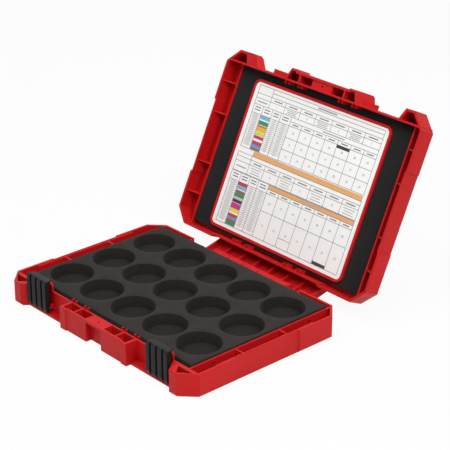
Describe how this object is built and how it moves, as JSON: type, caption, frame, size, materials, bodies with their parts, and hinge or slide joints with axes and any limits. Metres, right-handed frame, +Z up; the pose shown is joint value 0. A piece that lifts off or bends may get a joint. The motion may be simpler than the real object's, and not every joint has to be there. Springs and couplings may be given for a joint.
{
  "type": "die carrying case",
  "caption": "Flat moulded carrying case with a hinged lid held by two front latches, foam insert with round pockets for crimping dies and a chart inside the lid.",
  "frame": {"origin": "centre of the base's footprint, on the surface the case stands on", "axes": "+X to the right seen from the front, +Y towards the hinge at the back, +Z up; the front with the latches faces -Y"},
  "size_m": [0.3286, 0.3785, 0.2318],
  "materials": {
    "red_shell": "satin",
    "dark_latch": "satin",
    "grey_foam": "matte",
    "dark_foam": "matte",
    "lining_foam": "matte",
    "printed_chart": "satin",
    "steel_pin": "brushed"
  },
  "bodies": {
    "base": {"base_shell": "red_shell", "hinge_pin": "steel_pin", "latch_pin_left": "steel_pin", "latch_pin_right": "steel_pin", "pocket_foam": "grey_foam", "backing_foam": "dark_foam"},
    "lid": {"lid_shell": "red_shell", "lid_foam": "lining_foam", "chart_label": "printed_chart"},
    "latch_left": {"latch_left": "dark_latch"},
    "latch_right": {"latch_right": "dark_latch"}
  },
  "joints": [
    {"name": "lid_hinge", "type": "hinge", "parent": "base", "child": "lid", "pos_m": [0, 0.1272, 0.0162], "axis": [1, 0, 0], "range_deg": [0, 115]},
    {"name": "latch_left_pivot", "type": "hinge", "parent": "base", "child": "latch_left", "pos_m": [-0.1089, -0.1055, 0.0096], "axis": [1, 0, 0], "range_deg": [0, 90]},
    {"name": "latch_right_pivot", "type": "hinge", "parent": "base", "child": "latch_right", "pos_m": [0.1089, -0.1055, 0.0096], "axis": [1, 0, 0], "range_deg": [0, 90]}
  ]
}
